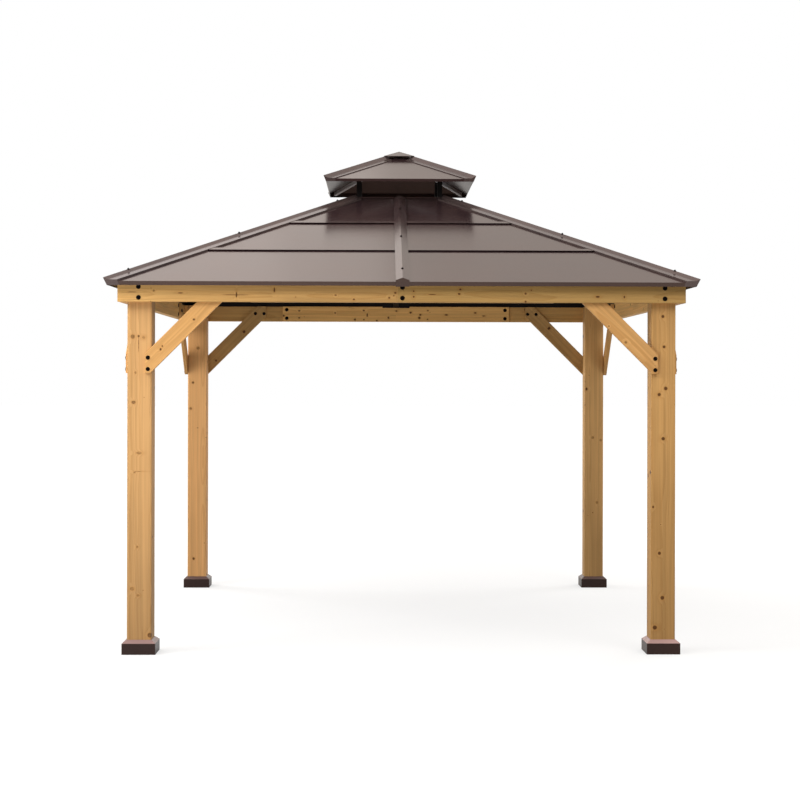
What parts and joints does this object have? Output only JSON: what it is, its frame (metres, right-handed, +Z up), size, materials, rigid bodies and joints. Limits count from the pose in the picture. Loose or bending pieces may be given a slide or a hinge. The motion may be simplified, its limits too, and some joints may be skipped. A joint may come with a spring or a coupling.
{
  "type": "garden gazebo",
  "caption": "Square open garden gazebo with timber posts, beams and knee braces under a two-tier hipped metal roof with a vent.",
  "frame": {"origin": "ground point under the middle of the gazebo", "axes": "+Z up, -Y towards the front seen in the picture, +X to the right seen from the front"},
  "size_m": [3.3756, 3.3756, 3.0863],
  "materials": {
    "cedar": "stained, satin",
    "roof_metal": "powder coated, satin",
    "base_metal": "powder coated, satin",
    "dark_steel": "powder coated, matt"
  },
  "bodies": {
    "root": {"back_beam": "cedar", "back_braces": "cedar", "back_left_hip_cap": "roof_metal", "back_left_post": "cedar", "back_left_post_base": "base_metal", "back_right_hip_cap": "roof_metal", "back_right_post": "cedar", "back_right_post_base": "base_metal", "back_roof_panels": "roof_metal", "back_roof_rib": "roof_metal", "centre_rafters": "dark_steel", "crown_ring": "dark_steel", "eave_rails": "dark_steel", "front_beam": "cedar", "front_braces": "cedar", "front_left_hip_cap": "roof_metal", "front_left_post": "cedar", "front_left_post_base": "base_metal", "front_right_hip_cap": "roof_metal", "front_right_post": "cedar", "front_right_post_base": "base_metal", "front_roof_panels": "roof_metal", "front_roof_rib": "roof_metal", "hip_rafters": "dark_steel", "left_beam": "cedar", "left_braces": "cedar", "left_roof_panels": "roof_metal", "left_roof_rib": "roof_metal", "post_packers": "cedar", "rafter_brackets": "dark_steel", "right_beam": "cedar", "right_braces": "cedar", "right_roof_panels": "roof_metal", "right_roof_rib": "roof_metal", "splice_boards": "cedar", "top_cap": "roof_metal", "upper_hip_caps": "roof_metal", "upper_rafters": "dark_steel", "upper_roof_panels": "roof_metal", "vent_posts": "dark_steel"}
  },
  "joints": []
}
